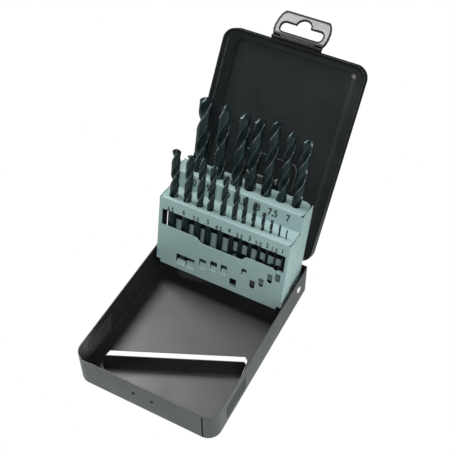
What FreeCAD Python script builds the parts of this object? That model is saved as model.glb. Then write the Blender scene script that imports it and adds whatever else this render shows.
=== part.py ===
import FreeCAD, Part
import math
import os
import Sketcher

# Folding pressed-steel case for nineteen twist drills.  A shallow tray and a shallow lid meet on a
# barrel hinge; a two-step drill holder turns on two studs in the tray and is lifted by a link when
# the lid is opened.  Z is up, X runs along the hinge, the front of the case faces -Y, and the
# origin is the centre of the tray's underside.  The case is modelled open.

V = FreeCAD.Vector
doc = FreeCAD.newDocument("drill_case")
sheet = doc.addObject("Spreadsheet::Sheet", "Sizes")

CELLS = [
    ("sheet_thickness", 0.6),
    ("tray_width", 112.0),
    ("tray_length", 148.0),
    ("tray_height", 28.5),
    ("tray_front_corner", 10.0),
    ("tray_rear_corner", 1.4),
    ("bend_radius", 1.0),
    ("rim_gap", 0.2),
    ("lid_length", 152.2),
    ("lid_depth", 9.3),
    ("lid_corner", 10.0),
    ("panel_inset", 10.7),
    ("panel_end_inset", 8.9),
    ("panel_slope", 2.2),
    ("panel_corner", 4.0),
    ("panel_depth", 1.0),
    ("hinge_height", 30.2),
    ("hinge_setback", 2.3),
    ("hinge_barrel_radius", 1.9),
    ("hinge_pin_radius", 0.95),
    ("pin_clearance", 0.05),
    ("knuckle_length", 16.0),
    ("knuckle_gap", 0.4),
    ("running_gap", 0.3),
    ("lid_opening", 122.5),
    ("grip_front", 17.5),
    ("grip_length", 29.0),
    ("grip_bottom", 5.0),
    ("grip_height", 15.5),
    ("grip_depth", 0.5),
    ("flap_angle", 24.4),
    ("flap_fold_left", 43.9),
    ("flap_fold_front", 14.6),
    ("flap_fold_length", 100.8),
    ("flap_opening", 15.8),
    ("flap_reach", 13.3),
    ("flap_lean", 13.0),
    ("front_dimple_spread", 7.3),
    ("front_dimple_height", 16.0),
    ("front_dimple_radius", 1.35),
    ("stud_setback", 19.02),
    ("stud_height", 23.35),
    ("stud_radius", 2.0),
    ("rivet_setback", 15.5),
    ("rivet_height", 18.3),
    ("rivet_radius", 1.4),
    ("rivet_head_radius", 2.75),
    ("bracket_thickness", 0.9),
    ("bracket_radius", 3.4),
    ("holder_turn_rate", 0.84898),
    ("holder_folded_angle", 92.0),
    ("holder_sheet", 0.7),
    ("holder_side_gap", 2.25),
    ("holder_front_height", 61.5),
    ("holder_rear_height", 75.9),
    ("holder_front_depth", 17.8),
    ("holder_depth", 35.4),
    ("holder_flange", 11.3),
    ("side_window_low", 22.0),
    ("side_window_high", 40.0),
    ("stud_up_holder", 8.5),
    ("stud_into_holder", 20.56),
    ("front_row_depth", 5.9),
    ("rear_row_depth", 27.2),
    ("rear_row_lean", 2.5),
    ("drill_hole_clearance", 0.08),
    ("tongue_thickness", 0.6),
    ("slot_bottom", 36.5),
    ("slot_top", 50.8),
    ("slot_half_width", 50.2),
    ("lug_pin_up", 66.5),
    ("lug_pin_in", 30.2),
    ("lug_offset", 11.4),
    ("lug_slot_radius", 1.45),
    ("link_pin_radius", 0.8),
    ("link_stub_radius", 0.75),
    ("link_barrel_radius", 1.5),
    ("link_pin_from_hinge", 48.93),
    ("link_pin_depth", 3.7),
    ("link_end_back", 30.683),
    ("link_end_down", 3.339),
    ("link_turn_rate", 0.814016),
    ("link_half_width", 11.1),
    ("lift_bracket_half_width", 25.2),
    ("lift_bracket_reach", 17.2),
    ("lift_bracket_heel", 4.8),
    ("lift_bracket_thickness", 0.8),
    ("hanger_half_width", 21.1),
    ("hanger_top_half_width", 17.6),
    ("hanger_fold_back", 33.8),
    ("hanger_slot_half", 16.4),
    ("hanger_slot_low", 5.2),
    ("hanger_slot_high", 13.2),
    ("hanger_slot_bump", 5.4),
    ("hanger_length", 22.3),
    ("hanger_thickness", 1.6),
    ("hanger_pin_radius", 0.6),
    ("hanger_barrel_radius", 1.4),
    ("hanger_pin_offset", 2.4),
    ("hanger_pin_above_rim", 0.9),
    ("clip_half_width", 19.5),
]

# Twist drills: diameter, overall length, place along the holder (X), which row it stands in, and
# the height of its lower end above the bottom of the holder.  Lengths are the jobber series.
FRONT_DRILLS = [
    (6.5, 101.0, -44.5, 0.7),
    (6.0, 93.0, -33.0, 7.9),
    (5.5, 93.0, -22.9, 9.7),
    (5.0, 86.0, -14.2, 13.8),
    (4.5, 80.0, -4.1, 14.8),
    (4.0, 75.0, 5.1, 16.6),
    (3.5, 70.0, 12.5, 13.9),
    (3.0, 61.0, 20.0, 21.3),
    (2.5, 57.0, 27.5, 19.6),
    (2.0, 49.0, 34.0, 23.9),
    (1.5, 40.0, 40.5, 31.5),
    (1.0, 34.0, 46.0, 35.1),
]
REAR_DRILLS = [
    (10.0, 133.0, -36.3, 2.5),
    (9.5, 125.0, -20.8, 9.7),
    (9.0, 125.0, -5.4, 8.3),
    (8.5, 117.0, 5.5, 16.1),
    (8.0, 117.0, 18.2, 18.6),
    (7.5, 109.0, 30.4, 22.6),
    (7.0, 109.0, 42.3, 21.3),
]

# Windows in the front of the holder, one below each small drill: diameters served, left and right
# edge, lower and upper edge, and the edge the drill's tongue is folded from.
WINDOWS = [
    ("wide", (6.0, 5.5), -36.0, -20.0, 4.9, 14.5, "lower"),
    ("five", (5.0,), -16.6, -10.5, 9.4, 18.5, "lower"),
    ("four_half", (4.5,), -7.3, -1.3, 11.4, 20.4, "lower"),
    ("four", (4.0,), 1.5, 6.9, 12.2, 21.0, "lower"),
    ("three_half", (3.5,), 9.8, 15.3, 3.8, 12.0, "upper"),
    ("three", (3.0,), 18.2, 22.6, 18.3, 25.6, "lower"),
    ("two_half", (2.5,), 25.8, 30.1, 10.2, 17.8, "upper"),
    ("two", (2.0,), 32.5, 36.6, 15.0, 22.6, "upper"),
    ("one_half", (1.5,), 38.8, 42.8, 21.5, 30.0, "upper"),
    ("one", (1.0,), 44.5, 48.7, 25.5, 32.8, "upper"),
]


def label_of(diameter):
    """Name of a drill, such as drill_6_5 for 6.5 mm."""
    return "drill_" + str(float(diameter)).replace(".", "_")


for diameter, length, place, foot in FRONT_DRILLS + REAR_DRILLS:
    CELLS.append((label_of(diameter) + "_diameter", diameter))
    CELLS.append((label_of(diameter) + "_length", length))
    CELLS.append((label_of(diameter) + "_place", place))
    CELLS.append((label_of(diameter) + "_foot", foot))
for name, diameters, left, right, low, high, fold in WINDOWS:
    CELLS.append(("window_" + name + "_left", left))
    CELLS.append(("window_" + name + "_right", right))
    CELLS.append(("window_" + name + "_low", low))
    CELLS.append(("window_" + name + "_high", high))

sheet.set("A1", "size, mm or degrees")
for row, (alias, amount) in enumerate(CELLS, start=2):
    sheet.set("A%d" % row, alias)
    sheet.set("B%d" % row, str(amount))
    sheet.setAlias("B%d" % row, alias)
doc.recompute()


class Size:
    """A number read from the sheet together with the expression that gives it."""

    def __init__(self, value, text):
        self.value = float(value)
        self.text = text

    def __add__(self, other):
        other = as_size(other)
        return Size(self.value + other.value, "(%s + %s)" % (self.text, other.text))

    def __sub__(self, other):
        other = as_size(other)
        return Size(self.value - other.value, "(%s - %s)" % (self.text, other.text))

    def __mul__(self, other):
        other = as_size(other)
        return Size(self.value * other.value, "(%s * %s)" % (self.text, other.text))

    def __truediv__(self, other):
        other = as_size(other)
        return Size(self.value / other.value, "(%s / %s)" % (self.text, other.text))

    def __radd__(self, other):
        return as_size(other) + self

    def __rsub__(self, other):
        return as_size(other) - self

    def __rmul__(self, other):
        return as_size(other) * self

    def __neg__(self):
        return Size(-self.value, "(0 - %s)" % self.text)


def as_size(number):
    """A plain number taken into a sum of sizes."""
    if isinstance(number, Size):
        return number
    return Size(number, "(%r)" % round(float(number), 6))


def cell(alias):
    """One size from the sheet."""
    return Size(sheet.get(alias), "Sizes." + alias)


def tangent(angle):
    """Tangent of an angle size, in degrees."""
    return Size(math.tan(math.radians(angle.value)), "tan(%s)" % angle.text)


def bind(thing, path, size):
    """Tie one property of an object to the sheet."""
    thing.setExpression(path, as_size(size).text)


PIECES = []


def new_body(label):
    """A body for one sub-part, named after it."""
    body = doc.addObject("PartDesign::Body", label)
    body.Label = label
    PIECES.append(body)
    return body


def draw(body, name, role, level, loops):
    """A sketch on one of the body's own origin planes, moved along its normal to the level.
    A loop is a list of corners, or ("circle", across, up, radius)."""
    sketch = body.newObject("Sketcher::SketchObject", body.Name + name)
    plane = [item for item in body.Origin.OriginFeatures if item.Role == role][0]
    sketch.AttachmentSupport = (plane, [""])
    sketch.MapMode = "FlatFace"
    level = as_size(level)
    if role == "XZ_Plane":
        level = -level
    sketch.AttachmentOffset = FreeCAD.Placement(V(0, 0, level.value), FreeCAD.Rotation())
    bind(sketch, "AttachmentOffset.Base.z", level)
    add_loops(sketch, loops)
    return sketch


def add_loops(sketch, loops):
    """Fill a sketch with closed loops whose corners and radii are tied to the sheet."""
    shapes = []
    rules = []
    ties = []
    for loop in loops:
        first = len(shapes)
        if loop[0] == "circle":
            across, up, radius = [as_size(item) for item in loop[1:]]
            shapes.append(Part.Circle(V(across.value, up.value, 0), V(0, 0, 1), radius.value))
            rules.append(Sketcher.Constraint("DistanceX", -1, 1, first, 3, across.value))
            ties.append((len(rules) - 1, across))
            rules.append(Sketcher.Constraint("DistanceY", -1, 1, first, 3, up.value))
            ties.append((len(rules) - 1, up))
            rules.append(Sketcher.Constraint("Radius", first, radius.value))
            ties.append((len(rules) - 1, radius))
            continue
        corners = [(as_size(across), as_size(up)) for across, up in loop]
        count = len(corners)
        for index in range(count):
            start = corners[index]
            end = corners[(index + 1) % count]
            start_point = V(start[0].value, start[1].value, 0)
            end_point = V(end[0].value, end[1].value, 0)
            shapes.append(Part.LineSegment(start_point, end_point))
        for index in range(count):
            following = first + (index + 1) % count
            rules.append(Sketcher.Constraint("Coincident", first + index, 2, following, 1))
            across, up = corners[index]
            rules.append(Sketcher.Constraint("DistanceX", -1, 1, first + index, 1, across.value))
            ties.append((len(rules) - 1, across))
            rules.append(Sketcher.Constraint("DistanceY", -1, 1, first + index, 1, up.value))
            ties.append((len(rules) - 1, up))
    sketch.addGeometry(shapes, False)
    sketch.addConstraint(rules)
    for number, size in ties:
        sketch.setExpression("Constraints[%d]" % number, size.text)


def rectangle(left, right, low, high):
    """Corners of a rectangle."""
    return [(left, low), (right, low), (right, high), (left, high)]


def pad(body, name, role, low, high, loops):
    """Material between two levels along the plane's axis."""
    low = as_size(low)
    high = as_size(high)
    start = high if role == "XZ_Plane" else low
    sketch = draw(body, name + "Outline", role, start, loops)
    feature = body.newObject("PartDesign::Pad", body.Name + name)
    feature.Profile = sketch
    feature.Length = high.value - low.value
    bind(feature, "Length", high - low)
    return feature


def cut(body, name, role, low, high, loops):
    """Material taken away between two levels along the plane's axis."""
    low = as_size(low)
    high = as_size(high)
    doc.recompute()
    before = body.Shape.Volume
    start = high if role == "XZ_Plane" else low
    sketch = draw(body, name + "Outline", role, start, loops)
    feature = body.newObject("PartDesign::Pocket", body.Name + name)
    feature.Profile = sketch
    feature.Reversed = True
    feature.Length = high.value - low.value
    bind(feature, "Length", high - low)
    doc.recompute()
    if not body.Shape.Volume < before - 1e-4:
        raise RuntimeError("nothing was cut by " + feature.Name)
    return feature


def edges_where(shape, test):
    """Names of the edges whose middle and direction pass a test."""
    names = []
    for number, edge in enumerate(shape.Edges, start=1):
        middle = edge.valueAt((edge.FirstParameter + edge.LastParameter) / 2)
        chord = edge.valueAt(edge.LastParameter) - edge.valueAt(edge.FirstParameter)
        if chord.Length > 1e-6:
            chord.normalize()
        if test(middle, chord):
            names.append("Edge%d" % number)
    return names


def round_edges(body, name, radius, test):
    """Rounded edges on the body's latest feature."""
    doc.recompute()
    base = body.Tip
    names = edges_where(base.Shape, test)
    if not names:
        raise RuntimeError("no edges for " + body.Name + name)
    feature = body.newObject("PartDesign::Fillet", body.Name + name)
    feature.Base = (base, names)
    feature.Radius = as_size(radius).value
    bind(feature, "Radius", radius)
    doc.recompute()
    if "Invalid" in feature.State or feature.Shape.isNull():
        raise RuntimeError("edges not rounded: " + feature.Name)
    return feature


def near(value, target, slack=0.02):
    """Whether a coordinate is at a place."""
    return abs(value - target) < slack


def hollow_out(body, level):
    """The body's block made into a pan of sheet, open at the flat face on one level."""
    doc.recompute()
    block = body.Tip
    mouth = [number for number, face in enumerate(block.Shape.Faces, start=1)
             if near(face.BoundBox.ZMin, level.value) and near(face.BoundBox.ZMax, level.value)]
    feature = body.newObject("PartDesign::Thickness", body.Name + "Hollow")
    feature.Base = (block, ["Face%d" % mouth[0]])
    feature.Value = skin.value
    bind(feature, "Value", skin)
    feature.Reversed = True
    feature.Join = 0
    doc.recompute()
    if not feature.Shape.Volume < block.Shape.Volume * 0.5:
        raise RuntimeError("not hollowed: " + body.Name)


def place(body, base, turn_about_x):
    """Put a piece where it belongs; the turn is about X, in degrees."""
    body.Placement = FreeCAD.Placement(base, FreeCAD.Rotation(V(1, 0, 0), turn_about_x))


skin = cell("sheet_thickness")
half_width = cell("tray_width") / 2
half_length = cell("tray_length") / 2
front = -half_length
height = cell("tray_height")
hinge_back = half_length + cell("hinge_setback")
hinge_up = cell("hinge_height")
barrel = cell("hinge_barrel_radius")
knuckle = cell("knuckle_length")
knuckle_step = knuckle + cell("knuckle_gap")
bore = cell("hinge_pin_radius") + cell("pin_clearance")


def knuckle_span(number):
    """Ends of one hinge knuckle, counted from the left, -2 to 2."""
    middle = knuckle_step * number
    return middle - knuckle / 2, middle + knuckle / 2


# ---------------------------------------------------------------- tray
tray = new_body("base_tray")
pad(tray, "Block", "XY_Plane", 0, height, [rectangle(-half_width, half_width, front, half_length)])
round_edges(tray, "FrontCorners", cell("tray_front_corner"),
            lambda m, c: abs(c.z) > 0.9 and m.y < 0)
round_edges(tray, "RearCorners", cell("tray_rear_corner"),
            lambda m, c: abs(c.z) > 0.9 and m.y > half_length.value - 0.5 and abs(m.x) > 40)
round_edges(tray, "BottomBend", cell("bend_radius"), lambda m, c: near(m.z, 0))
hollow_out(tray, height)

# Grip panels pressed into both side walls, each with seven ribs that show on both faces.
grip_front = front + cell("grip_front")
grip_back = grip_front + cell("grip_length")
grip_low = cell("grip_bottom")
grip_high = grip_low + cell("grip_height")
grip_depth = cell("grip_depth")
wall_inside = half_width - skin
grip_shape = rectangle(grip_front, grip_back, grip_low, grip_high)
inner_shape = rectangle(grip_front + skin, grip_back - skin, grip_low + skin, grip_high - skin)
for side, name in ((1, "Right"), (-1, "Left")):
    outer = half_width if side > 0 else -half_width
    inner = wall_inside if side > 0 else -wall_inside
    pressed = grip_depth if side > 0 else -grip_depth
    levels = sorted((inner - pressed, inner + pressed * 0.2), key=lambda size: size.value)
    pad(tray, "GripBack" + name, "YZ_Plane", levels[0], levels[1], [grip_shape])
    levels = sorted((outer - pressed, outer + pressed), key=lambda size: size.value)
    cut(tray, "GripRecess" + name, "YZ_Plane", levels[0], levels[1], [inner_shape])
    bars = []
    for number in range(7):
        low = grip_low + cell("grip_height") * (0.09 + 0.125 * number)
        bars.append(rectangle(grip_front + 1.6, grip_back - 1.6, low, low + 1.0))
    levels = sorted((outer - pressed * 1.1, outer - pressed * 0.1), key=lambda size: size.value)
    pad(tray, "GripBars" + name, "YZ_Plane", levels[0], levels[1], bars)
    levels = sorted((inner - pressed * 1.5, inner - pressed * 0.3), key=lambda size: size.value)
    cut(tray, "GripGrooves" + name, "YZ_Plane", levels[0], levels[1], bars)

# Slanted tongue cut from the floor and folded up; it keeps the drill points off the front wall.
fold_x = -cell("flap_fold_left")
fold_y = front + cell("flap_fold_front")
slant = math.radians(cell("flap_angle").value)
slant_cos = Size(math.cos(slant), "cos(Sizes.flap_angle)")
slant_sin = Size(math.sin(slant), "sin(Sizes.flap_angle)")


def floor_point(along, beyond):
    """A point of the floor, measured along the fold and square to it."""
    across = fold_x + slant_cos * along - slant_sin * beyond
    back = fold_y + slant_sin * along + slant_cos * beyond
    return across, back


fold_run = cell("flap_fold_length")
flap_width = cell("flap_opening")
cut(tray, "FloorOpening", "XY_Plane", -1, skin + 1,
    [[floor_point(0, 0), floor_point(fold_run, 0), floor_point(fold_run + 3.4, flap_width * 0.78),
      floor_point(fold_run + 1.6, flap_width), floor_point(3.2, flap_width),
      floor_point(1.0, flap_width * 0.78)]])
flap = tray.newObject("Sketcher::SketchObject", "base_trayFlapOutline")
flap.AttachmentSupport = ([o for o in tray.Origin.OriginFeatures if o.Role == "XY_Plane"][0], [""])
flap.MapMode = "FlatFace"
flap_turn = FreeCAD.Rotation(V(0, 0, 1), cell("flap_angle").value).multiply(
    FreeCAD.Rotation(V(1, 0, 0), 90 - cell("flap_lean").value))
flap_turn_start = flap_turn.multVec(V(0, 0, -skin.value / 2))
flap.AttachmentOffset = FreeCAD.Placement(
    V(fold_x.value, fold_y.value, skin.value / 2) + flap_turn_start, flap_turn)
flap_reach = cell("flap_reach")
add_loops(flap, [[(0.4, 0), (fold_run - 0.4, 0), (fold_run + 2.6, flap_reach - 2.6),
                  (fold_run + 2.2, flap_reach - 0.9), (fold_run + 0.9, flap_reach),
                  (3.0, flap_reach), (1.7, flap_reach - 0.8), (1.2, flap_reach - 2.4)]])
flap_pad = tray.newObject("PartDesign::Pad", "base_trayFlap")
flap_pad.Profile = flap
flap_pad.Length = skin.value
bind(flap_pad, "Length", skin)

# Front wall: corner seam, notches in the top edge, and two small holes side by side.
corner_x = half_width - cell("tray_front_corner")
cut(tray, "FrontWallNotches", "XZ_Plane", front - 1, front + skin + 0.4,
    [[(-corner_x - 2.6, height + 1), (-corner_x - 2.6, height - 0.7),
      (-corner_x + 4.6, height - 0.9), (-corner_x + 5.2, height + 1)],
     [(-11.9, height + 1), (-11.6, height - 0.9), (-11.2, height - 0.9), (-10.9, height + 1)],
     [(corner_x - 5.6, height + 1), (corner_x - 5.0, height - 0.9),
      (corner_x + 0.2, height - 1.3), (corner_x + 0.3, 1.6), (corner_x + 0.65, 1.6),
      (corner_x + 0.75, height + 1)],
     ("circle", -cell("front_dimple_spread"), cell("front_dimple_height"),
      cell("front_dimple_radius")),
     ("circle", cell("front_dimple_spread"), cell("front_dimple_height"),
      cell("front_dimple_radius"))])

# Hinge straps and knuckles on the rear wall.
for number, name in ((-2, "Left"), (0, "Middle"), (2, "Right")):
    span = knuckle_span(number)
    pad(tray, "Strap" + name, "YZ_Plane", span[0], span[1],
        [rectangle(half_length - skin, hinge_back, hinge_up - barrel, hinge_up - barrel + skin)])
    pad(tray, "Knuckle" + name, "YZ_Plane", span[0], span[1],
        [("circle", hinge_back, hinge_up, barrel)])
cut(tray, "HingeBore", "YZ_Plane", -half_width, half_width,
    [("circle", hinge_back, hinge_up, bore)])
rivet_back = half_length - cell("rivet_setback")
rivet_up = cell("rivet_height")
rivet_hole = cell("rivet_radius") + cell("pin_clearance")
cut(tray, "RivetHoles", "YZ_Plane", -half_width - 1, half_width + 1,
    [("circle", rivet_back, rivet_up, rivet_hole)])

# ---------------------------------------------------------------- hinge pin
reach = knuckle_step * 2 + knuckle / 2
hinge_pin = new_body("hinge_pin")
pad(hinge_pin, "Rod", "YZ_Plane", -reach, reach, [("circle", 0, 0, cell("hinge_pin_radius"))])
round_edges(hinge_pin, "Ends", 0.3, lambda m, c: near(abs(m.x), reach.value))
place(hinge_pin, V(0, hinge_back.value, hinge_up.value), 0)

# ---------------------------------------------------------------- holder studs and rivets
stud_back = half_length - cell("stud_setback")
stud_up = cell("stud_height")
run_back = rivet_back - stud_back
run_up = rivet_up - stud_up
run = math.hypot(run_back.value, run_up.value)
across_y = -run_up / run * cell("bracket_radius")
across_z = run_back / run * cell("bracket_radius")
bracket_in = wall_inside - cell("bracket_thickness")
holder_half = wall_inside - cell("holder_side_gap")
shell = cell("holder_sheet")
stud_end = holder_half - shell * 2 - 0.5
for side, name in ((-1, "left"), (1, "right")):
    bracket = new_body("pivot_bracket_" + name)
    levels = sorted((bracket_in * side, wall_inside * side), key=lambda size: size.value)
    pad(bracket, "Arm", "YZ_Plane", levels[0], levels[1],
        [[(across_y, across_z), (-across_y, -across_z),
          (run_back - across_y, run_up - across_z), (run_back + across_y, run_up + across_z)]])
    pad(bracket, "StudEnd", "YZ_Plane", levels[0], levels[1],
        [("circle", 0, 0, cell("bracket_radius"))])
    pad(bracket, "RivetEnd", "YZ_Plane", levels[0], levels[1],
        [("circle", run_back, run_up, cell("bracket_radius"))])
    cut(bracket, "RivetHole", "YZ_Plane", levels[0] - 1, levels[1] + 1,
        [("circle", run_back, run_up, rivet_hole)])
    levels = sorted((stud_end * side, (bracket_in + 0.2) * side), key=lambda size: size.value)
    pad(bracket, "Stud", "YZ_Plane", levels[0], levels[1], [("circle", 0, 0, cell("stud_radius"))])
    round_edges(bracket, "StudTip", 0.4, lambda m, c: near(abs(m.x), stud_end.value))
    place(bracket, V(0, stud_back.value, stud_up.value), 0)

    rivet = new_body("bracket_rivet_" + name)
    profile = draw(rivet, "Profile", "XY_Plane", 0,
                   [[(bracket_in - 0.5, 0), (bracket_in - 0.5, 1.6), (bracket_in - 0.25, 2.1),
                     (bracket_in, 2.2), (bracket_in, cell("rivet_radius")),
                     (half_width, cell("rivet_radius")), (half_width, cell("rivet_head_radius")),
                     (half_width + 0.5, cell("rivet_head_radius")),
                     (half_width + 0.8, cell("rivet_head_radius") - 0.3),
                     (half_width + 1, cell("rivet_head_radius") - 0.9), (half_width + 1, 0)]])
    turned = rivet.newObject("PartDesign::Revolution", "bracket_rivet_%sTurned" % name)
    turned.Profile = profile
    turned.ReferenceAxis = (profile, ["H_Axis"])
    turned.Angle = 360
    rivet.Placement = FreeCAD.Placement(V(0, rivet_back.value, rivet_up.value),
                                        FreeCAD.Rotation(V(0, 0, 1), 0 if side > 0 else 180))

# ---------------------------------------------------------------- lid
# The lid, and everything fixed to it, is drawn closed about the hinge axis and then turned open.
lid = new_body("lid_pan")
lid_back = barrel
lid_front = barrel - cell("lid_length")
rim = height + cell("rim_gap") - hinge_up
lid_top = rim + cell("lid_depth")
pad(lid, "Block", "XY_Plane", rim, lid_top,
    [rectangle(-half_width, half_width, lid_front, lid_back)])
round_edges(lid, "Corners", cell("lid_corner"), lambda m, c: abs(c.z) > 0.9)
round_edges(lid, "TopBend", cell("bend_radius"), lambda m, c: near(m.z, lid_top.value))
panel_x = half_width - cell("panel_inset")
panel_front = lid_front + cell("panel_end_inset")
panel_back = lid_back - cell("panel_end_inset")
slope = cell("panel_slope")


def soft_rectangle(left, right, low, high, corner):
    """A rectangle whose corners are turned in short steps."""
    steps = [(corner * (1 - math.sin(turn)), corner * (1 - math.cos(turn)))
             for turn in (math.radians(22.5 * number) for number in range(5))]
    points = [(left + across, low + up) for across, up in reversed(steps)]
    points += [(right - across, low + up) for across, up in steps]
    points += [(right - across, high - up) for across, up in reversed(steps)]
    points += [(left + across, high - up) for across, up in steps]
    return points


panel_corner = cell("panel_corner")
upper_loop = soft_rectangle(-panel_x - slope, panel_x + slope, panel_front - slope,
                            panel_back + slope, panel_corner)
lower_loop = soft_rectangle(-panel_x, panel_x, panel_front, panel_back, panel_corner - 1.4)
recess_top = draw(lid, "RecessTop", "XY_Plane", lid_top, [upper_loop])
recess_low = draw(lid, "RecessLow", "XY_Plane", lid_top - cell("panel_depth"), [lower_loop])
recess = lid.newObject("PartDesign::SubtractiveLoft", "lid_panRecess")
recess.Profile = recess_top
recess.Sections = [recess_low]
recess.Ruled = True
hollow_out(lid, rim)
knuckle_room = barrel + cell("running_gap")
cut(lid, "HingeRelief", "YZ_Plane", -half_width - 1, half_width + 1,
    [rectangle(-knuckle_room + 0.2, lid_back + 1, rim - 1, knuckle_room)])
for number, name in ((-1, "Left"), (1, "Right")):
    span = knuckle_span(number)
    pad(lid, "Strap" + name, "YZ_Plane", span[0], span[1],
        [rectangle(lid_back - skin, lid_back, 0, knuckle_room + 0.3)])
    pad(lid, "Knuckle" + name, "YZ_Plane", span[0], span[1], [("circle", 0, 0, barrel)])
cut(lid, "HingeBore", "YZ_Plane", -half_width, half_width, [("circle", 0, 0, bore)])
clip_half = cell("clip_half_width")
clip_seat = rim + 0.8
cut(lid, "ClipRelief", "XY_Plane", rim - 1, clip_seat,
    [rectangle(-clip_half - 0.4, clip_half + 0.4, lid_front - 1, lid_front + skin + 0.3)])

# ---------------------------------------------------------------- link bracket inside the lid
panel_inside = lid_top - cell("panel_depth") - skin
pin_y = -cell("link_pin_from_hinge")
pin_z = lid_top - cell("link_pin_depth")
lift_half = cell("lift_bracket_half_width")
bracket_far = pin_y - cell("lift_bracket_reach")
bracket_near = pin_y + cell("lift_bracket_heel")
weld_y = bracket_far + 1.9
plate_low = panel_inside - cell("lift_bracket_thickness")
link_half = cell("link_half_width")
ear_in = link_half + 0.4
ear_out = ear_in + 0.8
lift_bracket = new_body("lid_bracket")
pad(lift_bracket, "Plate", "XY_Plane", plate_low, panel_inside,
    [[(-lift_half + 5.4, bracket_far), (lift_half - 5.4, bracket_far),
      (lift_half - 2.4, bracket_far + 1.0), (lift_half - 0.7, bracket_far + 3.2),
      (lift_half, bracket_far + 6.4), (lift_half, bracket_near - 1.5),
      (lift_half - 1.5, bracket_near), (-lift_half + 1.5, bracket_near),
      (-lift_half, bracket_near - 1.5), (-lift_half, bracket_far + 6.4),
      (-lift_half + 0.7, bracket_far + 3.2), (-lift_half + 2.4, bracket_far + 1.0)]])
cut(lift_bracket, "Window", "XY_Plane", plate_low - 1, panel_inside + 1,
    [rectangle(-ear_in, ear_in, pin_y - 2.3, pin_y + 2.3)])
for side, name in ((-1, "Left"), (1, "Right")):
    levels = sorted((ear_in * side, ear_out * side), key=lambda size: size.value)
    pad(lift_bracket, "Ear" + name, "YZ_Plane", levels[0], levels[1],
        [[(pin_y - 2.8, plate_low + 0.2), (pin_y - 1.6, pin_z), (pin_y + 1.6, pin_z),
          (pin_y + 2.8, plate_low + 0.2)]])
    pad(lift_bracket, "EarEnd" + name, "YZ_Plane", levels[0], levels[1],
        [("circle", pin_y, pin_z, 1.7)])
cut(lift_bracket, "PinHoles", "YZ_Plane", -lift_half, lift_half,
    [("circle", pin_y, pin_z, cell("link_pin_radius") + cell("pin_clearance"))])
pad(lift_bracket, "Welds", "XY_Plane", plate_low - 0.35, plate_low + 0.1,
    [("circle", -13.5, weld_y, 1.2), ("circle", 0, weld_y, 1.2), ("circle", 13.5, weld_y, 1.2)])

link_pin = new_body("link_pin")
pad(link_pin, "Rod", "YZ_Plane", -ear_out - 0.3, ear_out + 0.3,
    [("circle", pin_y, pin_z, cell("link_pin_radius"))])
round_edges(link_pin, "Ends", 0.25, lambda m, c: near(abs(m.x), ear_out.value + 0.3))

# ---------------------------------------------------------------- hanger clip, pin and tab
clip_y = lid_front - cell("hanger_pin_offset")
clip_z = rim + cell("hanger_pin_above_rim")
clip_barrel = cell("hanger_barrel_radius")
clip_low = clip_seat - skin
clip = new_body("hanger_clip")
tab_half = clip_half - 5.9
pad(clip, "Saddle", "YZ_Plane", -clip_half, clip_half,
    [[(lid_front - skin, clip_low), (lid_front + skin * 2, clip_low),
      (lid_front + skin * 2, rim + 4.4), (lid_front + skin, rim + 4.4),
      (lid_front + skin, clip_seat), (lid_front, clip_seat), (lid_front, clip_z + clip_barrel),
      (lid_front - skin, clip_z + clip_barrel)]])
for side, name in ((-1, "Left"), (1, "Right")):
    levels = sorted(((tab_half + 0.4) * side, clip_half * side), key=lambda size: size.value)
    pad(clip, "Strap" + name, "YZ_Plane", levels[0], levels[1],
        [rectangle(clip_y, lid_front - skin / 2, clip_z + clip_barrel - skin,
                   clip_z + clip_barrel)])
    pad(clip, "Knuckle" + name, "YZ_Plane", levels[0], levels[1],
        [("circle", clip_y, clip_z, clip_barrel)])
hanger_bore = cell("hanger_pin_radius") + cell("pin_clearance")
cut(clip, "Bore", "YZ_Plane", -half_width, half_width, [("circle", clip_y, clip_z, hanger_bore)])

hanger_pin = new_body("hanger_pin")
pad(hanger_pin, "Rod", "YZ_Plane", -clip_half, clip_half,
    [("circle", clip_y, clip_z, cell("hanger_pin_radius"))])
round_edges(hanger_pin, "Ends", 0.2, lambda m, c: near(abs(m.x), clip_half.value))

# The tab is drawn about its own pin, pointing away from the lid.
tab = new_body("hanger_tab")
hanger_half = cell("hanger_half_width")
hanger_top = cell("hanger_top_half_width")
hanger_reach = -cell("hanger_length")
thick = cell("hanger_thickness")
shoulder = -clip_barrel - 0.5
outline = [(hanger_half - 1.7, shoulder), (hanger_half - 0.4, hanger_reach * 0.24),
           (hanger_half, hanger_reach * 0.41), (hanger_half - 0.4, hanger_reach * 0.66),
           (hanger_half - 1.6, hanger_reach * 0.86), (hanger_top, hanger_reach)]
mirrored = [(-across, up) for across, up in reversed(outline)]
pad(tab, "Plate", "XY_Plane", -thick / 2, thick / 2,
    [[(-tab_half, 0), (tab_half, 0), (tab_half, shoulder)] + outline + mirrored
     + [(-tab_half, shoulder)]])
round_edges(tab, "TopCorners", 2.0,
            lambda m, c: abs(c.z) > 0.9 and near(m.y, hanger_reach.value))
pad(tab, "Barrel", "YZ_Plane", -tab_half, tab_half, [("circle", 0, 0, clip_barrel)])
cut(tab, "Bore", "YZ_Plane", -half_width, half_width, [("circle", 0, 0, hanger_bore)])
slot_half_length = cell("hanger_slot_half")
slot_near = -cell("hanger_slot_low")
slot_far = -cell("hanger_slot_high")
cut(tab, "SlotArms", "XY_Plane", -thick, thick,
    [rectangle(-slot_half_length, slot_half_length, slot_far, slot_near)])
round_edges(tab, "SlotEnds", 3.2,
            lambda m, c: abs(c.z) > 0.9 and near(abs(m.x), slot_half_length.value))
cut(tab, "SlotMiddle", "XY_Plane", -thick, thick,
    [("circle", 0, slot_far, cell("hanger_slot_bump"))])
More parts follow.
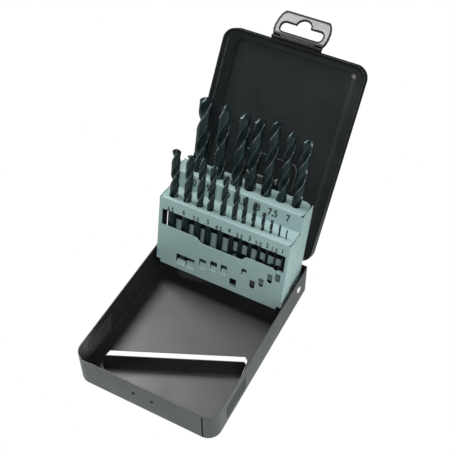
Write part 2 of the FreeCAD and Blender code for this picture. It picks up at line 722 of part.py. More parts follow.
cut(tab, "MouldMarks", "XY_Plane", -thick, 0.2 - thick / 2,
    [("circle", -hanger_top + 1.4, hanger_reach + 2.6, 0.8),
     ("circle", hanger_top - 1.4, hanger_reach + 2.6, 0.8),
     ("circle", -hanger_half + 2.3, slot_near - 0.8, 0.7),
     ("circle", hanger_half - 2.3, slot_near - 0.8, 0.7)])

# ---------------------------------------------------------------- lift link
# Drawn lying as in the closed case, about the pin in the lid.
link = new_body("lift_link")
end_y = -cell("link_end_back")
end_z = -cell("link_end_down")
pad(link, "Web", "YZ_Plane", -link_half, link_half, [rectangle(end_y + 7.6, 0, -0.35, 0.35)])
pad(link, "Barrel", "YZ_Plane", -link_half, link_half,
    [("circle", 0, 0, cell("link_barrel_radius"))])
cut(link, "Bore", "YZ_Plane", -half_width, half_width,
    [("circle", 0, 0, cell("link_pin_radius") + cell("pin_clearance"))])
for side, name in ((-1, "Left"), (1, "Right")):
    levels = sorted(((link_half - 0.7) * side, link_half * side), key=lambda size: size.value)
    pad(link, "Ear" + name, "YZ_Plane", levels[0], levels[1],
        [[(end_y + 14, 0.35), (end_y + 7.4, 0.35), (end_y - 0.5, end_z + 1.62),
          (end_y + 0.5, end_z - 1.62), (end_y + 8.4, -1.3), (end_y + 14, -0.35)]])
    pad(link, "EarEnd" + name, "YZ_Plane", levels[0], levels[1], [("circle", end_y, end_z, 1.7)])
    levels = sorted(((link_half - 0.1) * side, (link_half + 1.4) * side), key=lambda s: s.value)
    pad(link, "Stub" + name, "YZ_Plane", levels[0], levels[1],
        [("circle", end_y, end_z, cell("link_stub_radius"))])

# ---------------------------------------------------------------- holder, front shell
# The holder is drawn upright: X across, Y into its depth, Z up its face; then tilted back.
spread = holder_half * 2 / 106.3
face_high = cell("holder_front_height")
front_depth = cell("holder_front_depth")
front_shell = new_body("index_front_shell")
notch = holder_half - 4
flange = cell("holder_flange")
bend = shell + 0.1
pad(front_shell, "Wrap", "XY_Plane", 3, face_high - 0.9,
    [[(-holder_half, flange), (-holder_half, bend), (-holder_half + 0.24, 0.24),
      (-holder_half + bend, 0), (holder_half - bend, 0), (holder_half - 0.24, 0.24),
      (holder_half, bend), (holder_half, flange), (holder_half - shell, flange),
      (holder_half - shell, shell), (-holder_half + shell, shell),
      (-holder_half + shell, flange)]])
pad(front_shell, "Brow", "YZ_Plane", -holder_half + 2.4, holder_half - 2.4,
    [[(0, face_high - 1.5), (0, face_high - bend), (0.24, face_high - 0.24),
      (bend, face_high), (3, face_high), (3, face_high - shell), (shell, face_high - shell),
      (shell, face_high - 1.5)]])
pad(front_shell, "Shelf", "XY_Plane", face_high - shell, face_high,
    [[(-holder_half + 2.1, bend), (holder_half - 2.1, bend), (holder_half - 0.3, 3.6),
      (holder_half - 0.3, front_depth - 3.4), (holder_half - 2.2, front_depth),
      (-holder_half + 2.2, front_depth), (-holder_half + 0.3, front_depth - 3.4),
      (-holder_half + 0.3, 3.6)]])
pad(front_shell, "Kick", "XZ_Plane", 0, shell, [rectangle(-notch, notch, 0, 3.2)])
pad(front_shell, "Foot", "XY_Plane", 0, shell,
    [rectangle(-notch + 0.6, notch - 0.6, shell / 2, flange + 1.6)])
slot_low = cell("slot_bottom")
slot_high = cell("slot_top")
slot_half = cell("slot_half_width") * spread
cut(front_shell, "LongSlot", "XZ_Plane", -1, shell + 1,
    [[(-slot_half, slot_low), (spread * -20.9, slot_low), (spread * -16.1, slot_low - 3.9),
      (spread * 17.0, slot_low - 3.8), (spread * 20.5, slot_low - 0.1),
      (spread * 41.6, slot_low - 0.1), (spread * 42.9, slot_low - 1.3),
      (spread * 49.0, slot_low - 1.3), (slot_half, slot_low), (slot_half, slot_high),
      (-slot_half, slot_high)]])
panes = []
for name, diameters, left, right, low, high, fold in WINDOWS:
    alias = "window_" + name
    panes.append(rectangle(cell(alias + "_left") * spread, cell(alias + "_right") * spread,
                           cell(alias + "_low"), cell(alias + "_high")))
cut(front_shell, "Windows", "XZ_Plane", -1, shell + 1, panes)


def pane_corner(middle, rows, upper):
    """Whether an edge is a corner of one of the named windows, at its upper or lower end."""
    for name, diameters, left, right, low, high, fold in WINDOWS:
        alias = "window_" + name
        level = cell(alias + ("_high" if upper else "_low")).value
        sides = [(cell(alias + end) * spread).value for end in ("_left", "_right")]
        if name in rows and near(middle.z, level):
            if near(middle.x, sides[0]) or near(middle.x, sides[1]):
                return True
    return False


ROUND_LOW = ("three_half", "two_half", "one_half", "one", "two")
ROUND_HIGH = ("three",)
round_edges(front_shell, "RoundWindows", 1.7,
            lambda m, c: abs(c.y) > 0.9 and (pane_corner(m, ROUND_LOW, False)
                                             or pane_corner(m, ROUND_HIGH, True)))
row_y = cell("front_row_depth")
holes = []
for diameter, length, across, foot in FRONT_DRILLS:
    alias = label_of(diameter)
    radius = cell(alias + "_diameter") / 2
    holes.append(("circle", cell(alias + "_place") * spread, row_y,
                  radius + cell("drill_hole_clearance")))
cut(front_shell, "DrillHoles", "XY_Plane", face_high - shell - 1, face_high + 1, holes)

# Tongues pushed in from the windows; each carries the lower end of a drill.
tongue = cell("tongue_thickness")
for name, diameters, left, right, low, high, fold in WINDOWS:
    alias = "window_" + name
    edge = cell(alias + "_low") if fold == "lower" else cell(alias + "_high")
    under = edge - 0.8 if fold == "lower" else edge
    over = edge if fold == "lower" else edge + 0.8
    pane_left = cell(alias + "_left") * spread
    pane_right = cell(alias + "_right") * spread
    share = (pane_right - pane_left) / len(diameters)
    for number, diameter in enumerate(diameters):
        stem = label_of(diameter)
        foot = cell(stem + "_foot")
        radius = cell(stem + "_diameter") / 2
        start = row_y - radius - 0.3
        end = row_y + radius + 0.5
        margin = 0.25 if number == 0 else 0.6
        pad(front_shell, "Tongue_" + stem, "YZ_Plane", pane_left + share * number + margin,
            pane_left + share * (number + 1) - 0.25,
            [[(shell / 2, under), (shell / 2, over), (start, foot), (end, foot),
              (end, foot - tongue), (start + 0.35, foot - tongue)]])

# ---------------------------------------------------------------- holder, rear shell
rear_shell = new_body("index_rear_shell")
rear_half = holder_half - shell
rear_high = cell("holder_rear_height")
depth = cell("holder_depth")
lean = cell("rear_row_lean")
hole_y = cell("rear_row_depth")
lean_tan = tangent(lean)
plate_back = front_depth + shell
pad(rear_shell, "InnerPlate", "XZ_Plane", front_depth, plate_back,
    [[(-rear_half, 1.1), (rear_half, 1.1), (rear_half, rear_high - 1.5),
      (-rear_half, rear_high - 1.5)]])
pad(rear_shell, "Brow", "YZ_Plane", -rear_half + 2.2, rear_half - 2.2,
    [[(front_depth, rear_high - 2), (front_depth, rear_high - bend),
      (front_depth + 0.24, rear_high - 0.24), (front_depth + bend, rear_high),
      (front_depth + 3, rear_high), (front_depth + 3, rear_high - shell),
      (plate_back, rear_high - shell), (plate_back, rear_high - 2)]])
pad(rear_shell, "Shelf", "XY_Plane", rear_high - shell, rear_high,
    [[(-rear_half + 2.0, front_depth + bend), (rear_half - 2.0, front_depth + bend),
      (rear_half - 0.2, front_depth + 3.4), (rear_half - 0.2, depth - 6.2),
      (rear_half - 1.8, depth - 2.2), (rear_half - 5.4, depth), (-rear_half + 5.4, depth),
      (-rear_half + 1.8, depth - 2.2), (-rear_half + 0.2, depth - 6.2),
      (-rear_half + 0.2, front_depth + 3.4)]])
pad(rear_shell, "RearFlange", "XZ_Plane", depth - shell, depth,
    [rectangle(-rear_half + 6, rear_half - 6, rear_high - 3.9, rear_high)])
for side, name in ((-1, "Left"), (1, "Right")):
    levels = sorted(((rear_half - shell) * side, rear_half * side), key=lambda s: s.value)
    pad(rear_shell, "Side" + name, "YZ_Plane", levels[0], levels[1],
        [[(1.0, 4.2), (depth - 3.9, 1.1), (depth - 1.9, 4.0), (depth - 0.1, rear_high - 1.0),
          (front_depth, rear_high - 1.0), (front_depth, face_high - shell - 0.3),
          (1.0, face_high - shell - 0.3)]])
cut(rear_shell, "SideWindow", "YZ_Plane", -rear_half - 1, -rear_half + shell + 1,
    [rectangle(flange + 0.2, front_depth - 0.2, cell("side_window_low"),
               cell("side_window_high"))])
cut(rear_shell, "StudHoles", "YZ_Plane", -half_width, half_width,
    [("circle", cell("stud_into_holder"), cell("stud_up_holder"),
      cell("stud_radius") + cell("pin_clearance"))])
holes = []
rear_windows = []
for diameter, length, across, foot in REAR_DRILLS:
    alias = label_of(diameter)
    radius = cell(alias + "_diameter") / 2
    holes.append(("circle", cell(alias + "_place") * spread, hole_y,
                  radius + cell("drill_hole_clearance")))
    low = cell(alias + "_foot") + (hole_y - (rear_high - cell(alias + "_foot")) * lean_tan
                                   - plate_back + 0.35) * lean_tan
    half = radius * 0.8 + 0.4
    middle = cell(alias + "_place") * spread
    rear_windows.append(rectangle(middle - half, middle + half, low, low + radius * 2 + 3))
cut(rear_shell, "DrillHoles", "XY_Plane", rear_high - shell - 1, rear_high + 1, holes)
cut(rear_shell, "RearWindows", "XZ_Plane", front_depth - 1, plate_back + 1, rear_windows)
for diameter, length, across, foot in REAR_DRILLS:
    alias = label_of(diameter)
    radius = cell(alias + "_diameter") / 2
    foot = cell(alias + "_foot")
    foot_y = hole_y - (rear_high - foot) * lean_tan
    middle = cell(alias + "_place") * spread
    half = radius * 0.8 + 0.2
    start = plate_back - 0.35
    end = foot_y + radius + 0.5
    start_z = foot + (foot_y - start) * lean_tan
    end_z = foot + (foot_y - end) * lean_tan
    pad(rear_shell, "Tongue_" + alias, "YZ_Plane", middle - half, middle + half,
        [[(start, start_z - tongue), (end, end_z - tongue), (end, end_z), (start, start_z)]])

# Lugs under the rear shelf; the ends of the lift link run in their slanted slots.
lug_y = cell("lug_pin_in")
lug_z = cell("lug_pin_up")
lug_slot = cell("lug_slot_radius")
lug_in = cell("lug_offset")
for side, name in ((-1, "Left"), (1, "Right")):
    levels = sorted((lug_in * side, (lug_in + shell) * side), key=lambda s: s.value)
    pad(rear_shell, "Lug" + name, "YZ_Plane", levels[0], levels[1],
        [[(lug_y - 2.6, rear_high - 0.3), (lug_y - 2.6, lug_z - 0.5), (lug_y - 1.2, lug_z - 2.3),
          (lug_y + 1.4, lug_z - 2.3), (depth - 0.1, lug_z + 1.5), (depth - 0.1, rear_high - 0.3)]])
slot_dy = 2.65
slot_dz = 2.45
slot_run = math.hypot(slot_dy, slot_dz)
off_y = lug_slot * (slot_dz / slot_run)
off_z = lug_slot * (slot_dy / slot_run)
near_y = lug_y + 0.1
near_z = lug_z + 0.1
far_y = near_y + slot_dy
far_z = near_z + slot_dz
for number, loop in enumerate((
        [(near_y - off_y, near_z + off_z), (near_y + off_y, near_z - off_z),
         (far_y + off_y, far_z - off_z), (far_y - off_y, far_z + off_z)],
        ("circle", near_y, near_z, lug_slot), ("circle", far_y, far_z, lug_slot))):
    cut(rear_shell, "LugSlot%d" % number, "YZ_Plane", -lug_in - 2, lug_in + 2, [loop])

# ---------------------------------------------------------------- drills
DRILL_POINT = math.tan(math.radians(59))


def drill_body(diameter):
    """One twist drill standing on its shank, point up: a round bar with a 118 degree point."""
    stem = label_of(diameter)
    body = new_body(stem)
    radius = cell(stem + "_diameter") / 2
    length = cell(stem + "_length")
    profile = draw(body, "Profile", "XZ_Plane", 0,
                   [[(0, 0), (radius, 0), (radius, length - radius / DRILL_POINT), (0, length)]])
    turned = body.newObject("PartDesign::Revolution", stem + "_turned")
    turned.Profile = profile
    turned.ReferenceAxis = (profile, ["V_Axis"])
    turned.Angle = 360
    return body


# The link makes the holder turn with the lid, by a fixed share of the lid's angle.
lid_angle = cell("lid_opening").value
tilt = lid_angle * cell("holder_turn_rate").value - cell("holder_folded_angle").value
holder_turn = FreeCAD.Rotation(V(1, 0, 0), -tilt)
stud_in_holder = V(0, cell("stud_into_holder").value, cell("stud_up_holder").value)
holder_base = V(0, stud_back.value, stud_up.value) - holder_turn.multVec(stud_in_holder)
holder_place = FreeCAD.Placement(holder_base, holder_turn)
front_shell.Placement = holder_place
rear_shell.Placement = holder_place
for diameter, length, across, foot in FRONT_DRILLS + REAR_DRILLS:
    stem = label_of(diameter)
    body = drill_body(diameter)
    foot_x = (cell(stem + "_place") * spread).value
    foot_z = cell(stem + "_foot").value
    if diameter < 6.9:
        own = FreeCAD.Placement(V(foot_x, row_y.value, foot_z), FreeCAD.Rotation())
    else:
        foot_y = hole_y.value - (rear_high.value - foot_z) * lean_tan.value
        own = FreeCAD.Placement(V(foot_x, foot_y, foot_z),
                                FreeCAD.Rotation(V(1, 0, 0), -lean.value))
    body.Placement = holder_place.multiply(own)

# ---------------------------------------------------------------- the lid turned open
opening = -lid_angle
hinge_line = V(0, hinge_back.value, hinge_up.value)
for piece in (lid, lift_bracket, link_pin, clip, hanger_pin):
    place(piece, hinge_line, opening)
lid_turn = FreeCAD.Rotation(V(1, 0, 0), opening)
tab_line = hinge_line + lid_turn.multVec(V(0, clip_y.value, clip_z.value))
place(tab, tab_line, opening - cell("hanger_fold_back").value)
link_line = hinge_line + lid_turn.multVec(V(0, pin_y.value, pin_z.value))
place(link, link_line, opening + lid_angle * cell("link_turn_rate").value)
doc.recompute()

for item in doc.Objects:
    if "Invalid" in item.State or "Error" in item.State:
        raise RuntimeError("failed object: " + item.Name)
for piece in PIECES:
    shape = piece.Shape
    if shape.isNull() or not shape.isValid() or len(shape.Solids) != 1:
        raise RuntimeError("bad shape: " + piece.Label)

os.makedirs("parts", exist_ok=True)
for piece in PIECES:
    piece.Shape.exportStep("parts/%s.step" % piece.Label)
print(len(PIECES), "pieces")
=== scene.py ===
import math

import bmesh
import bpy
from mathutils import Matrix, Vector


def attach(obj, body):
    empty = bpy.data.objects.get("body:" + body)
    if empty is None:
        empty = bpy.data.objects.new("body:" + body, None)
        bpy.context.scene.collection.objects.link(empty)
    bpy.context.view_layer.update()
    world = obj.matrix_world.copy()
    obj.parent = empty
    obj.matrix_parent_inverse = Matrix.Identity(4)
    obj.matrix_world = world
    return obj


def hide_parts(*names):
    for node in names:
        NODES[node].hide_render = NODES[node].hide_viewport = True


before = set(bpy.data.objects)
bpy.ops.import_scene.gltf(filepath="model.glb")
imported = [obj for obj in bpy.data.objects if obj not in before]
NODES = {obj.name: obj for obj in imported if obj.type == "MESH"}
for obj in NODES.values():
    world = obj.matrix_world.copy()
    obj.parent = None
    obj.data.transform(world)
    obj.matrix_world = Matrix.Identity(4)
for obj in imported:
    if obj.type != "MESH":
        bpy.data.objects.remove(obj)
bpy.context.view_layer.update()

MILLIMETRE = 0.001
MM = Matrix.Scale(MILLIMETRE, 4)

# The holder's own axes: across X, into its depth Y, up its face Z.  Sizes in millimetres.
TILT = math.radians(12)                     # how far the open holder leans back
STUD = Vector((0, 54.98, 23.35))            # its pivot in the case's frame
STUD_ON_HOLDER = Vector((0, 20.56, 8.5))    # the same point in its own
HOLDER = Matrix.Rotation(-TILT, 4, "X")
HOLDER.translation = STUD - HOLDER @ STUD_ON_HOLDER
UPRIGHT = Matrix.Rotation(math.radians(90), 4, "X")     # stands a flat outline on the face
REAR_FACE = 17.8                            # depth of the inner plate
REAR_HIGH = 75.9                            # height of the rear shelf
FRONT_ROW_DEPTH = 5.9
REAR_ROW_DEPTH = 27.2                       # at the rear shelf
LEAN = math.radians(2.5)                    # of the rear row, further back than the holder

# The seven ribs of each grip, up the tray's side walls.
RIBS = 7
RIB_PITCH = 1.9375
RIB_MIDDLE = 6.895                          # height of the lowest rib's crest

# The hanger tab's hinge, its own up and outward directions, and the lid's, in metres.
TAB_HINGE = Vector((0, 0.15784, 0.159308))
TAB_UP = Vector((0, 0.9157, 0.4019))
TAB_FACE = Vector((0, -0.4019, 0.9157))
LID_FACE = Vector((0, 0.8434, -0.5373))
LID_DOWN = Vector((0, LID_FACE.z, -LID_FACE.y))     # from the lid's free edge to its hinge

# Diameter, overall length, flute length, place along the holder, height of the shank's end.
FRONT_ROW = (
    (6.5, 101, 63, -44.5, 0.7), (6.0, 93, 57, -33.0, 7.9), (5.5, 93, 57, -22.9, 9.7),
    (5.0, 86, 52, -14.2, 13.8), (4.5, 80, 47, -4.1, 14.8), (4.0, 75, 43, 5.1, 16.6),
    (3.5, 70, 39, 12.5, 13.9), (3.0, 61, 33, 20.0, 21.3), (2.5, 57, 30, 27.5, 19.6),
    (2.0, 49, 24, 34.0, 23.9), (1.5, 40, 18, 40.5, 31.5), (1.0, 34, 12, 46.0, 35.1),
)
REAR_ROW = (
    (10.0, 133, 87, -36.3, 2.5), (9.5, 125, 81, -20.8, 9.7), (9.0, 125, 81, -5.4, 8.3),
    (8.5, 117, 75, 5.5, 16.1), (8.0, 117, 75, 18.2, 18.6), (7.5, 109, 69, 30.4, 22.6),
    (7.0, 109, 69, 42.3, 21.3),
)


def placed(data):
    """A new object for a mesh, a curve, a lamp or a camera, under the same name."""
    made = bpy.data.objects.new(data.name, data)
    bpy.context.scene.collection.objects.link(made)
    return made


def mesh_of(name, corners, faces, material):
    """A mesh from corners in millimetres, in one material."""
    mesh = bpy.data.meshes.new(name)
    mesh.from_pydata(corners, [], faces)
    mesh.transform(MM)
    mesh.materials.append(material)
    return mesh


def mirrored(loop):
    """The right half of an outline, followed by its mirror image."""
    return loop + [(-across, up) for across, up in reversed(loop)]


def frame_at(place, up, face):
    """A matrix from flat outlines in millimetres, X across and Y up, to a place in metres."""
    turn = Matrix(((1, 0, 0, 0), (0, up.y, face.y, 0), (0, up.z, face.z, 0), (0, 0, 0, 1)))
    return Matrix.Translation(place) @ turn @ MM


# ---------------------------------------------------------------- materials
BEVEL_SAMPLES = 6
RUBBED_AND_HIGHLIT = (0.13, 0.14, 0.14)         # paint rubbed thin along an edge, lightened further as a painted highlight
CUT_EDGE_AND_HIGHLIGHT = (0.30, 0.32, 0.32)       # the bare cut edge of a plate, lightened further as a painted highlight
# Painted highlight on the ribs' crests outside, and painted shade in their hollows inside.
RIB_CREST_HIGHLIGHT = (0.085, 0.088, 0.088)
RIB_HOLLOW_SHADE = (0.030, 0.031, 0.032)
CHIPPED_AND_HIGHLIT = (0.55, 0.66, 0.66)        # the holder's paint along its edges, chipped and lightened as a painted highlight
# painted shade deep inside the holder and in the seams at its shelves' ends
HOLLOW_SHADE = (0.006, 0.008, 0.009)
# painted highlight along the drills' sharp edges
OXIDE_EDGE_HIGHLIGHT = (0.20, 0.24, 0.25)
SMOKE_DARK = (0.006, 0.006, 0.008)


class Shader:
    """A node material with a few short ways to wire it."""

    def __init__(self, name):
        self.mat = bpy.data.materials.new(name)
        self.mat.use_nodes = True
        self.tree = self.mat.node_tree
        self.bsdf = self.tree.nodes["Principled BSDF"]
        self.coords = self.tree.nodes.new("ShaderNodeTexCoord").outputs["Object"]

    def node(self, kind, **inputs):
        made = self.tree.nodes.new(kind)
        for key, value in inputs.items():
            self.feed(made.inputs[key.replace("_", " ")], value)
        return made

    def feed(self, socket, value):
        if isinstance(value, bpy.types.NodeSocket):
            self.tree.links.new(value, socket)
        else:
            socket.default_value = value

    def set(self, **inputs):
        for key, value in inputs.items():
            self.feed(self.bsdf.inputs[key.replace("_", " ")], value)

    def noise(self, scale, detail=3, stretch=None, roughness=0.5):
        vector = self.coords
        if stretch:
            mapping = self.node("ShaderNodeMapping", Vector=vector, Scale=stretch)
            vector = mapping.outputs["Vector"]
        made = self.node("ShaderNodeTexNoise", Vector=vector, Scale=scale, Detail=detail,
                         Roughness=roughness)
        return made.outputs["Fac"]

    def ramp(self, factor, *stops):
        made = self.node("ShaderNodeValToRGB", Fac=factor)
        elements = made.color_ramp.elements
        while len(elements) < len(stops):
            elements.new(0.5)
        for element, (place, colour) in zip(elements, stops):
            element.position = place
            if not isinstance(colour, tuple):
                colour = (colour, colour, colour)
            element.color = (*colour, 1)
        return made.outputs["Color"]

    def mix(self, factor, first, second):
        made = self.tree.nodes.new("ShaderNodeMix")
        made.data_type = "RGBA"
        self.feed(made.inputs[0], factor)
        for socket, value in ((made.inputs[6], first), (made.inputs[7], second)):
            self.feed(socket, value if isinstance(value, bpy.types.NodeSocket) else (*value, 1))
        return made.outputs[2]

    def rounded(self, radius):
        """The surface's normal as if its edges were rounded."""
        bevel = self.node("ShaderNodeBevel", Radius=radius)
        bevel.samples = BEVEL_SAMPLES
        return bevel.outputs["Normal"]

    def bump(self, height, strength, distance, normal=None):
        """Relief, over the surface's own normal or over another one."""
        made = self.node("ShaderNodeBump", Height=height, Strength=strength, Distance=distance)
        if normal is not None:
            self.feed(made.inputs["Normal"], normal)
        self.set(Normal=made.outputs["Normal"])

    def math(self, operation, first, second=0.0):
        made = self.tree.nodes.new("ShaderNodeMath")
        made.operation = operation
        self.feed(made.inputs[0], first)
        self.feed(made.inputs[1], second)
        return made.outputs[0]

    def step(self, value, low, high):
        """0 at low and 1 at high; low may be the larger."""
        made = self.node("ShaderNodeMapRange", Value=value, From_Min=low, From_Max=high)
        return made.outputs["Result"]

    def within(self, value, low, high, soft):
        """1 between two levels and 0 beyond them."""
        return self.math("MULTIPLY", self.step(value, low - soft, low + soft),
                         self.step(value, high + soft, high - soft))

    def all_of(self, *factors):
        """1 where every factor is 1: their product."""
        result = factors[0]
        for factor in factors[1:]:
            result = self.math("MULTIPLY", result, factor)
        return result

    def any_of(self, *factors):
        """1 where any factor is 1: the largest."""
        result = factors[0]
        for factor in factors[1:]:
            result = self.math("MAXIMUM", result, factor)
        return result

    def dot(self, first, second):
        made = self.tree.nodes.new("ShaderNodeVectorMath")
        made.operation = "DOT_PRODUCT"
        self.feed(made.inputs[0], first)
        self.feed(made.inputs[1], second)
        return made.outputs["Value"]

    def rim(self, axis):
        """1 on the cut edges of a plate that faces along an axis."""
        normal = self.tree.nodes.new("ShaderNodeTexCoord").outputs["Normal"]
        return self.step(self.math("ABSOLUTE", self.dot(normal, axis)), 0.7, 0.45)

    def corners(self, radius):
        """1 beside an edge, from how far a rounded normal departs from the true one."""
        plain = self.tree.nodes.new("ShaderNodeNewGeometry").outputs["Normal"]
        return self.step(self.dot(self.rounded(radius), plain), 0.97, 0.82)

    def edges(self, low, high):
        """1 where a dense mesh turns sharply."""
        geometry = self.tree.nodes.new("ShaderNodeNewGeometry")
        return self.ramp(geometry.outputs["Pointiness"], (low, 0.0), (high, 1.0))


def satin_black(name, tone, gloss, spec=0.72, ribs=False, plate=None):
    """Stoved satin paint on steel: a fine even skin, faint haze, and edges that are rubbed and
    lightened further as a painted highlight.

    With ribs it also rounds the grips' ribs and paints a highlight and shade on them.  A plate
    that faces along the axis `plate` has cut edges lightened both as bare steel and as a painted
    highlight.
    """
    shader = Shader(name)
    cloud = shader.noise(35, 4)
    grain = shader.noise(2600, 2)
    colour = shader.mix(shader.ramp(cloud, (0.35, 0.0), (0.7, 1.0)),
                        tuple(t * 0.86 for t in tone), tuple(t * 1.16 for t in tone))
    # Painted highlight along the edges, on top of rubbed paint.
    rubbed_and_highlit = shader.all_of(shader.corners(0.0004), 0.3)
    colour = shader.mix(rubbed_and_highlit, colour, RUBBED_AND_HIGHLIT)
    if plate:
        # Painted highlight on the plate's cut edges, on top of their bare steel.
        colour = shader.mix(shader.rim(plate), colour, CUT_EDGE_AND_HIGHLIGHT)
    rough = shader.ramp(cloud, (0.25, gloss - 0.04), (0.75, gloss + 0.05))
    shader.set(Base_Color=colour, Roughness=rough, Metallic=0.0, IOR=1.5)
    shader.bsdf.inputs["Specular IOR Level"].default_value = spec
    shader.bump(grain, 0.16, 0.00006, shader.rounded(0.0003))
    if ribs:
        round_ribs(shader, colour)
    return shader.mat


def round_ribs(shader, colour):
    """Rounds the seven pressed ribs of each grip, and paints a highlight on their crests outside
    and shade in their hollows inside.
    """
    split = shader.node("ShaderNodeSeparateXYZ", Vector=shader.coords).outputs
    above = shader.math("SUBTRACT", split["Z"], RIB_MIDDLE * MILLIMETRE)
    turns = shader.math("MULTIPLY", above, 2 * math.pi / (RIB_PITCH * MILLIMETRE))
    wave = shader.math("COSINE", turns)
    across = shader.math("ABSOLUTE", split["X"])
    wave = shader.all_of(wave, shader.within(split["Y"], -0.0550, -0.0290, 0.0002),
                         shader.within(split["Z"], 0.0060, 0.0198, 0.0002),
                         shader.step(across, 0.0536, 0.0538))
    outside = shader.step(across, 0.0551, 0.0553)
    inside = shader.math("SUBTRACT", 1.0, outside)
    # Painted highlight on the crests outside, painted shade in the hollows inside.
    tops = shader.all_of(shader.step(wave, 0.1, 0.7), outside)
    backs = shader.all_of(shader.step(wave, -0.1, -0.7), inside)
    colour = shader.mix(tops, colour, RIB_CREST_HIGHLIGHT)
    colour = shader.mix(backs, colour, RIB_HOLLOW_SHADE)
    shader.set(Base_Color=colour)
    shader.bump(wave, 1.0, 0.0004, shader.bsdf.inputs["Normal"].links[0].from_socket)


def holder_shade(shader):
    """Where shade is painted on the holder: deep inside it, and in the seams at the ends of its
    shelves.
    """
    place = shader.node("ShaderNodeMapping", Vector=shader.coords,
                        Location=HOLDER.inverted().translation, Rotation=(TILT, 0, 0),
                        Scale=(1 / MILLIMETRE,) * 3)
    split = shader.node("ShaderNodeSeparateXYZ", Vector=place.outputs["Vector"]).outputs
    side, depth, up = split["X"], split["Y"], split["Z"]
    across = shader.math("ABSOLUTE", side)
    # Two places of the inner plate, towards the right, that stay light, free of the painted shade.
    wall = shader.step(depth, 16.9, 17.0)
    patch = shader.all_of(shader.within(up, 8.5, 16.6, 0.2), shader.step(side, 28.4, 28.6), wall)
    foot = shader.all_of(shader.within(up, 0, 5.6, 0.2), shader.step(side, 15.0, 15.2), wall)
    lit = shader.any_of(patch, foot)
    # Painted shade between the front sheet and the inner plate, from the foot to the front shelf.
    high = shader.any_of(
        shader.within(up, 1.2, 60.4, 0.1),
        shader.all_of(shader.within(up, -2, 2, 0.1), shader.step(depth, 6.2, 6.8)))
    inside = shader.all_of(shader.within(depth, 2.8, 18.3, 0.3), high,
                           shader.step(across, 52.1, 52.0), shader.math("SUBTRACT", 1.0, lit))
    # Painted shade in the seams between the ends of each shelf and the side plates.
    front_seam_shade = shader.all_of(
        shader.within(across, 52.1, 52.5, 0.05), shader.step(up, 60.3, 60.5),
        shader.step(depth, 17.8, 17.7), shader.step(up, 61.7, 61.65))
    rear_seam_shade = shader.all_of(shader.within(across, 51.5, 51.9, 0.05),
                              shader.step(up, 74.7, 74.8))
    return shader.any_of(inside, front_seam_shade, rear_seam_shade)


def holder_paint(name="holder_paint", shaded=True):
    """Pale blue-grey satin paint with slight pooling, chipped edges lightened further as a painted
    highlight, and, when shaded, painted shade inside the holder.
    """
    shader = Shader(name)
    cloud = shader.noise(22, 5)
    grain = shader.noise(1900, 2)
    colour = shader.mix(shader.ramp(cloud, (0.3, 0.0), (0.7, 1.0)),
                        (0.306, 0.440, 0.434), (0.340, 0.474, 0.466))
    # Painted highlight along the edges, on top of chipped paint.
    rim = shader.all_of(shader.corners(0.0004), 0.5)
    colour = shader.mix(rim, colour, CHIPPED_AND_HIGHLIT)
    if shaded:
        # Painted shade inside the holder and in its seams.
        colour = shader.mix(holder_shade(shader), colour, HOLLOW_SHADE)
    shader.set(Base_Color=colour, Roughness=shader.ramp(cloud, (0.2, 0.34), (0.8, 0.44)))
    shader.bsdf.inputs["Specular IOR Level"].default_value = 0.3
    shader.bump(grain, 0.14, 0.00005, shader.rounded(0.0004))
    return shader.mat


def oxide():
    """Steam-blackened tool steel: blue-green black, with a painted highlight on sharp edges."""
    shader = Shader("drill_oxide")
    cloud = shader.noise(260, 4)
    lines = shader.noise(900, 2, stretch=(1, 1, 0.12))
    colour = shader.mix(shader.ramp(cloud, (0.3, 0.0), (0.7, 1.0)),
                        (0.009, 0.018, 0.020), (0.018, 0.034, 0.037))
    # Painted highlight on the sharp edges.
    colour = shader.mix(shader.edges(0.53, 0.62), colour, OXIDE_EDGE_HIGHLIGHT)
    shader.set(Base_Color=colour, Metallic=0.55,
               Roughness=shader.ramp(lines, (0.3, 0.24), (0.7, 0.4)))
    shader.bump(lines, 0.12, 0.00008)
    return shader.mat


def worn_margin():
    """The ground margin along each flute, worn to grey steel."""
    shader = Shader("drill_margin")
    cloud = shader.noise(420, 4)
    colour = shader.ramp(cloud, (0.35, (0.06, 0.08, 0.088)), (0.72, (0.34, 0.37, 0.38)))
    shader.set(Base_Color=colour, Metallic=0.85,
               Roughness=shader.ramp(cloud, (0.3, 0.22), (0.8, 0.36)))
    shader.bump(cloud, 0.1, 0.00005)
    return shader.mat


def bright_steel(name, tone, metal=0.95, gloss=0.2):
    """Turned or headed steel with fine marks."""
    shader = Shader(name)
    lines = shader.noise(1500, 3, stretch=(1, 0.15, 1))
    colour = shader.mix(lines, tuple(t * 0.8 for t in tone), tuple(min(1, t * 1.15) for t in tone))
    shader.set(Base_Color=colour, Metallic=metal,
               Roughness=shader.ramp(lines, (0.3, gloss), (0.8, gloss + 0.18)))
    shader.bump(lines, 0.15, 0.00006, shader.rounded(0.0002))
    return shader.mat


def smoke_plastic():
    """Smoke moulding with a soft haze and flow lines, dark at its edges and at its hinge."""
    shader = Shader("smoke_plastic")
    flow = shader.noise(90, 4, stretch=(0.4, 1, 1))
    colour = shader.ramp(flow, (0.3, (0.40, 0.385, 0.385)), (0.75, (0.54, 0.515, 0.515)))
    from_hinge = shader.math("SUBTRACT", shader.dot(shader.coords, TAB_UP), TAB_HINGE.dot(TAB_UP))
    dark = shader.any_of(shader.rim(TAB_FACE), shader.step(from_hinge, 0.0046, 0.0041))
    colour = shader.mix(dark, colour, SMOKE_DARK)
    shader.set(Base_Color=colour, Roughness=shader.ramp(flow, (0.2, 0.36), (0.8, 0.46)), IOR=1.46)
    shader.bsdf.inputs["Specular IOR Level"].default_value = 0.25
    shader.bsdf.inputs["Transmission Weight"].default_value = 0.85
    shader.bump(flow, 0.12, 0.0002, shader.rounded(0.0003))
    return shader.mat


